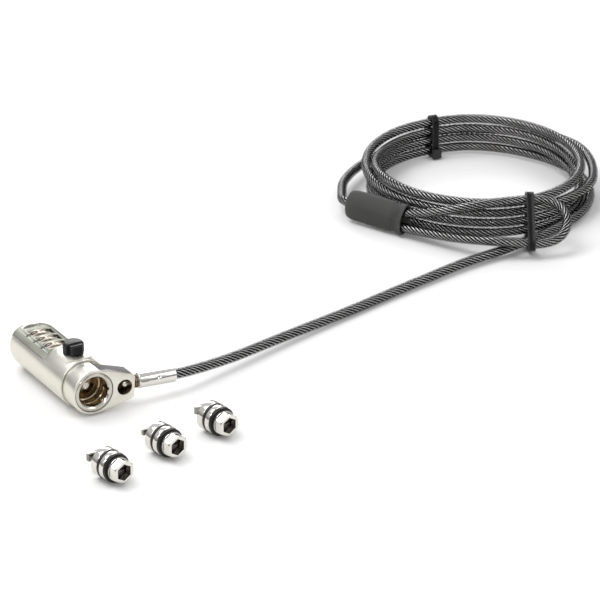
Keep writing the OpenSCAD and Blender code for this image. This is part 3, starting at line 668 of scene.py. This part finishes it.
def sleeve_ring(along, width_factor, thickness_factor):
    """A squared-off oval with a ridge down the middle of each wide face."""
    power = 2 / 2.6
    half_width = SLEEVE_HALF_WIDTH * width_factor
    cos, sin = np.cos(section_angles(56)), np.sin(section_angles(56))
    wide = half_width * np.copysign(abs(cos) ** power, cos)
    thin = SLEEVE_HALF_THICKNESS * thickness_factor * np.copysign(abs(sin) ** power, sin)
    thin *= 0.82 + 0.31 * np.maximum(0, 1 - abs(wide) / (0.86 * half_width))
    return in_sleeve(along, wide[:, None]) + thin[:, None] * SLEEVE_THIN


def build_sleeve():
    verts, faces = loft([sleeve_ring(*station) for station in SLEEVE_STATIONS])
    sleeve = add_cable_part("eye_sleeve", verts, faces, RUBBER, "sleeve_plastic")
    fix_normals(sleeve.data)
    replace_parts(sleeve, "loop_sleeve")
    modify(sleeve, "SUBSURF", levels=1, render_levels=1)
    bake(sleeve)


# ------------------------------------------------------------ cable ties
# Each tie is drawn in its own frame: u and z in the plane of the hoop, a across the strap.
STRAP_HALF_WIDTH = 1.7
STRAP_THICKNESS = 0.95
STRAP_CLEARANCE = 2.44    # from a cable's centre to the strap's inner face
STRAP_POINTS = 160
RIB_HEIGHT = 0.06
CHANNEL = (6, 7)          # outline points on the channel's floor
# a, height over the inner face: a band with rounded edges and a channel along its outside
STRAP_OUTLINE = np.array([
    (-STRAP_HALF_WIDTH + 0.12, 0.0), (-STRAP_HALF_WIDTH, 0.14),
    (-STRAP_HALF_WIDTH, STRAP_THICKNESS - 0.26),
    (-STRAP_HALF_WIDTH + 0.10, STRAP_THICKNESS - 0.04),
    (-STRAP_HALF_WIDTH + 0.30, STRAP_THICKNESS),
    (-STRAP_HALF_WIDTH + 0.52, STRAP_THICKNESS - 0.02),
    (-STRAP_HALF_WIDTH + 0.66, STRAP_THICKNESS - 0.16),
])
STRAP_OUTLINE = np.vstack([STRAP_OUTLINE, STRAP_OUTLINE[::-1] * (-1, 1)])


def half_hull(points):
    hull = []
    for p in points:
        while len(hull) >= 2:
            (x0, y0), (x1, y1) = hull[-2:]
            if (x1 - x0) * (p[1] - y0) - (y1 - y0) * (p[0] - x0) > 0:
                break
            hull.pop()
        hull.append(p)
    return hull[:-1]


def strap_path(centres):
    """Even points on a taut loop round the cable centres."""
    angles = np.radians(np.arange(0, 360, 6))
    points = sorted((u + STRAP_CLEARANCE * math.cos(t), z + STRAP_CLEARANCE * math.sin(t))
                    for u, z in centres for t in angles)
    hull = half_hull(points) + half_hull(points[::-1])
    hull = np.array(hull + hull[:1])
    length = np.r_[0, np.cumsum(np.linalg.norm(np.diff(hull, axis=0), axis=1))]
    distance = np.linspace(0, length[-1], STRAP_POINTS, endpoint=False)
    return np.stack([np.interp(distance, length, hull[:, i]) for i in range(2)], 1)


def strap(centres):
    path = strap_path(centres)
    ahead = np.roll(path, -1, 0) - np.roll(path, 1, 0)
    normals = unit_rows(np.stack([ahead[:, 1], -ahead[:, 0]], 1))
    height = np.tile(STRAP_OUTLINE[:, 1], (STRAP_POINTS, 1))
    height[::2, CHANNEL] += RIB_HEIGHT
    in_plane = path[:, None] + normals[:, None] * height[..., None]
    across = np.broadcast_to(STRAP_OUTLINE[:, 0], height.shape)
    return loft(np.stack([in_plane[..., 0], across, in_plane[..., 1]], -1), closed=True)


def rounded_box(low, high, radius):
    low, high = np.array(low), np.array(high)
    bm = bmesh.new()
    bmesh.ops.create_cube(bm, size=1)
    for v in bm.verts:
        v.co = Vector((low + high) / 2 + np.array(v.co) * (high - low))
    bmesh.ops.bevel(bm, geom=bm.edges[:], offset=radius, segments=2, profile=0.5,
                    affect="EDGES")
    return take_arrays(bm)


def build_tie(name, node_name, centres, origin, axes, boxes=()):
    """axes are the coil-frame directions of u, a and z."""
    verts, faces = merge([strap(centres), *boxes])
    verts = np.array(origin) + verts @ np.array(axes)
    tie = add_cable_part(name, verts, faces, TIE, "black_plastic")
    fix_normals(tie.data)
    shade_with_sharp(tie.data, 50)
    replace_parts(tie, node_name)


def build_rear_tie():
    """Radial tie at the back of the coil, with its head on the coil's inside."""
    angle = 113
    centres = [turn_section(turn, angle) for turn in range(1, 6)]
    inside = centres[0][0] - JACKET_RADIUS
    head = rounded_box((inside - 3.3, -2.2, 0.6), (inside - 1.1, 2.2, 4.8), 0.35)
    nub = rounded_box((inside - 3.6, -1.1, 1.5), (inside - 1.2, 1.1, 2.7), 0.2)
    axes = [(cosd(angle), sind(angle), 0), (-sind(angle), cosd(angle), 0), (0, 0, 1)]
    build_tie("tie_rear", "cable_tie_rear", centres, (COIL_X, COIL_Y, 0), axes, [head, nub])


def build_front_tie():
    """Tie in a plane of constant x, round the coil's front, the lead and the eye's legs."""
    x = 183.0
    plane_radius, stack_radius = 51.6, 50.7
    angle = -math.degrees(math.acos((x - COIL_X) / plane_radius))
    centres = [(COIL_Y + stack_radius * sind(angle), ROW_0 + STEP * row) for row in range(4)]
    centres += [(166.4, ROW_0), (175.2, 20.0), (156.6, 6.8)]
    axes = [(0, 1, 0), (-1, 0, 0), (0, 0, 1)]
    build_tie("tie_front", "cable_tie_front", centres, (x, 0, 0), axes)


# ------------------------------------------------------------ lock head
def build_button():
    """The thumb button, remeshed finely and relaxed for soft moulded edges."""
    button = link_object("thumb_button", welded("slide_button"))
    modify(button, "REMESH", mode="VOXEL", voxel_size=0.11 * MM, adaptivity=0)
    modify(button, "SMOOTH", iterations=9, factor=0.5)
    bake(button)
    shade_smooth(button.data)
    stand_in(button, "slide_button", BUTTON, "slide")


def build_head():
    # bevel widths in mm
    bevel_copy("barrel_body", "barrel_shell", 0.16, NICKEL, "barrel")
    bevel_copy("swivel_collar", "collar_and_arm", 0.25, ARM_NICKEL_PAINTED_LIGHT, "collar",
               segments=3)
    bevel_copy("window_plate", "panel_plate", 0.10, PANEL, "barrel")
    bevel_copy("nose_sleeve", "nose_tube", 0.12, BORE_PAINTED_SHADE, "barrel")
    bevel_copy("rear_cap", "end_cap", 0.12, NICKEL, "barrel")
    build_button()
    bevel_copy("cable_ferrule", "ferrule", 0.15, CHROME, "cable", segments=3)
    # half a step round, so that a groove is on top with a numeral on either side of it
    half_step = Matrix.Rotation(math.radians(DIGIT_ANGLE / 2), 4, "Y")
    for i in range(1, 5):
        wheel = bevel_copy(f"number_dial_{i}", f"dial_wheel_{i}", 0.10, DIAL,
                           f"dial_{i}")
        wheel.data.transform(half_step)
    for tip in TIPS:
        bevel_copy(f"{tip}_tip_body", f"{tip}_base", 0.14, TIP, f"{tip}_tip")
        bevel_copy(f"{tip}_tip_bolt", f"{tip}_bolt", 0.14, BOLT, f"{tip}_driver")


def paint_kept_parts():
    """New materials for the CAD pieces that stay as they are."""
    steel = ["sleeve_pins", "reset_screw", "detent_spring", "spindle", "spindle_spring",
             "slide_carriage", "locking_bolt", "loop_crimp"]
    paint = dict.fromkeys(steel, STEEL)
    paint |= {"swivel_stud": CHROME, "swivel_washer": WASHER}
    paint |= {f"clutch_ring_{i}": BRASS for i in range(1, 5)}
    paint |= {f"{tip}_tip_{end}_ring": SEAL for tip in TIPS for end in ("front", "rear")}
    for node_name, material in paint.items():
        materials = NODES[node_name].data.materials
        materials.clear()
        materials.append(material)


# ------------------------------------------------------------ numerals and sight marks
def digit_mesh(character):
    """A flat numeral centred on its origin, sliced across so that it can bend."""
    curve = bpy.data.curves.new("digit", "FONT")
    curve.body = character
    curve.size = 4.4
    curve.extrude = 0.045
    curve.offset = 0.21    # thickens the strokes
    curve.resolution_u = 4
    curve.align_x = "CENTER"
    curve.align_y = "CENTER"
    ob = link_object("digit", curve)
    bpy.context.view_layer.update()
    graph = bpy.context.evaluated_depsgraph_get()
    mesh = bpy.data.meshes.new_from_object(ob.evaluated_get(graph))
    bm = bmesh.new()
    bm.from_mesh(mesh)
    bmesh.ops.remove_doubles(bm, verts=bm.verts, dist=1e-4)
    for y in np.arange(-4, 4, 0.28):
        bmesh.ops.bisect_plane(bm, geom=bm.verts[:] + bm.edges[:] + bm.faces[:],
                               plane_co=(0, float(y), 0), plane_no=(0, 1, 0))
    verts, faces = take_arrays(bm)
    bpy.data.objects.remove(ob)
    bpy.data.meshes.remove(mesh)
    verts[:, :2] -= ((verts.min(0) + verts.max(0)) / 2)[:2]
    return verts, faces


def build_numerals():
    """The numerals of each wheel, wrapped on to its rim and sunk slightly into it."""
    sink = 0.01
    digits = [digit_mesh(character) for character in "0123456789"]
    for i, dial_y in enumerate(DIAL_Y, 1):
        parts = []
        for k, (verts, faces) in enumerate(digits):
            x, y, z = verts.T
            angle = math.radians(DIGIT_ANGLE * (k - 0.5)) + y / RIM_RADIUS
            radius = RIM_RADIUS - sink + z
            wrapped = [radius * np.sin(angle), dial_y - x, radius * np.cos(angle)]
            parts.append((np.stack(wrapped, 1), faces))
        add_object(f"numerals_{i}", *merge(parts), f"dial_{i}", INK, "dial", smooth=False)


def panel_prism(outline, depth):
    """A thin prism standing just proud of the panel, which is curved across x."""
    panel_top, panel_radius, proud = 7.0, 25, 0.035
    x, y = np.array(outline).T
    z = panel_top - panel_radius + np.sqrt(panel_radius ** 2 - x * x) + proud
    top = np.stack([x, y, z], 1)
    count = len(top)
    faces = [list(range(count)), list(range(2 * count - 1, count - 1, -1))]
    for i in range(count):
        j = (i + 1) % count
        faces.append([i, count + i, count + j, j])
    return np.vstack([top, top - [0, 0, depth]]), faces


def build_sight_marks():
    """A small wedge and a dot on the -x side of each dial window."""
    dot_x, dot_radius = -5.35, 0.6
    marks = []
    for y in DIAL_Y:
        wedge = [(-3.5, y), (-4.7, y - 1.3), (-4.7, y + 1.3)]
        dot = [(dot_x + dot_radius * math.cos(t), y + dot_radius * math.sin(t))
               for t in section_angles(14)]
        marks += [panel_prism(wedge, 0.135), panel_prism(dot, 0.13)]
    ob = add_object("sight_marks", *merge(marks), "barrel", INK, "panel", smooth=False)
    fix_normals(ob.data)


# ------------------------------------------------------------ floor, world, lights, camera
def floor_material():
    """White to the camera; to other rays a floor that darkens away from the viewer."""
    material = bpy.data.materials.new("floor_white")
    tree = empty_tree(material)
    coords = coordinates(tree)
    white = ramp(tree, noise(tree, coords, scale=3, detail=2), [(0.3, 0.90), (0.7, 0.92)])
    seen = node(tree, "BsdfPrincipled", {
        "Base Color": white, "Roughness": 0.6, "Specular IOR Level": 0.2})
    distance = vector_value(tree, "DOT_PRODUCT", coords, AWAY)
    fading = ramp(tree, distance, [(0.30, (0.80, 0.79, 0.765)), (0.52, (0.07, 0.068, 0.066)),
                                   (1.0, 0.05)])
    reflected = node(tree, "BsdfDiffuse", {"Color": fading})
    camera_ray = node(tree, "LightPath").outputs["Is Camera Ray"]
    both = node(tree, "MixShader", {"Fac": camera_ray, 1: reflected.outputs[0],
                                    2: seen.outputs[0]})
    node(tree, "OutputMaterial", {"Surface": both.outputs[0]})
    return material


def build_floor():
    bm = bmesh.new()
    bmesh.ops.create_grid(bm, x_segments=2, y_segments=2, size=3.0)
    mesh = bpy.data.meshes.new("floor")
    bm.to_mesh(mesh)
    bm.free()
    floor = link_object("floor", mesh)
    floor.location = (0.1, 0.1, (FLOOR - 0.05) * MM)
    mesh.materials.append(floor_material())


def build_world():
    """Sky by height: one ramp beyond the product, another on the viewer's side."""
    world = bpy.data.worlds.new("studio")
    scene.world = world
    tree = empty_tree(world)
    coords = coordinates(tree, "Generated")
    height = node(tree, "SeparateXYZ", {0: coords}).outputs["Z"]
    beyond = ramp(tree, height, [(0.0, 0.05), (0.10, 0.08), (0.18, 0.38), (0.30, 0.85),
                                 (0.62, 1.0), (1.0, 0.85)])
    near_side = ramp(tree, height, [(0.0, 0.50), (0.08, 0.30), (0.20, 0.50), (0.40, 0.86),
                                    (1.0, 0.82)])
    away = ramp(tree, vector_value(tree, "DOT_PRODUCT", coords, AWAY), [(0.35, 0), (0.70, 1)])
    colour = mix(tree, away, near_side, beyond)
    background = node(tree, "Background", {"Color": colour, "Strength": 0.72})
    node(tree, "OutputWorld", {"Surface": background.outputs[0]})


KEY_POWER = 9.0
# name, place and target in metres, width, height (None: square), share of the key's power
LIGHTS = [
    ("key", (-0.35, 0.35, 1.15), (0.1, 0.08, 0), 0.9, None, 1),
    ("fill", (0.9, -0.75, 0.9), (0.12, 0.05, 0), 0.8, None, 0.4),
    ("rim", (0.5, 1.1, 0.55), (0.15, 0.1, 0), 0.7, 0.35, 0.4),
    ("strip", (-0.55, -0.75, 0.55), (0.1, 0.08, 0), 0.9, 0.05, 0.22),
]


def build_lights():
    for name, place, target, width, height, share in LIGHTS:
        light = bpy.data.lights.new(name, "AREA")
        light.energy = KEY_POWER * share
        light.size = width
        light.shape = "RECTANGLE" if height else "SQUARE"
        if height:
            light.size_y = height
        ob = link_object(name, light)
        ob.location = place
        aim = Vector(target) - Vector(place)
        ob.rotation_euler = aim.to_track_quat("-Z", "Y").to_euler()


def build_camera():
    """Long lens looking down on the product along the coil frame's y."""
    pitch = 24
    distance, shift_right, shift_up = 1422.0, 81.59732, 36.77039    # from the model's origin
    right = turned([1, 0, 0])
    up = turned([0, sind(pitch), cosd(pitch)])
    forward = turned([0, cosd(pitch), -sind(pitch)])
    place = (shift_right * right + shift_up * up - distance * forward) * MM
    camera = bpy.data.cameras.new("camera")
    camera.sensor_width = 36
    camera.lens = 214.98
    camera.clip_start = 0.01
    camera.clip_end = 20
    ob = link_object("camera", camera)
    rows = np.stack([right, up, -forward, place], 1).tolist()
    ob.matrix_world = Matrix(rows + [[0, 0, 0, 1]])
    scene.camera = ob


# ------------------------------------------------------------ build
cable = cable_line()
build_jacket(cable)
build_rope(cable)
build_sleeve()
build_rear_tie()
build_front_tie()
build_head()
paint_kept_parts()
build_numerals()
build_sight_marks()
build_floor()
build_world()
build_lights()
build_camera()

scene.view_settings.view_transform = "Standard"
scene.view_settings.look = "None"
scene.view_settings.exposure = 0.0
scene.cycles.transparent_max_bounces = 24    # the jacket's layers overlap many times
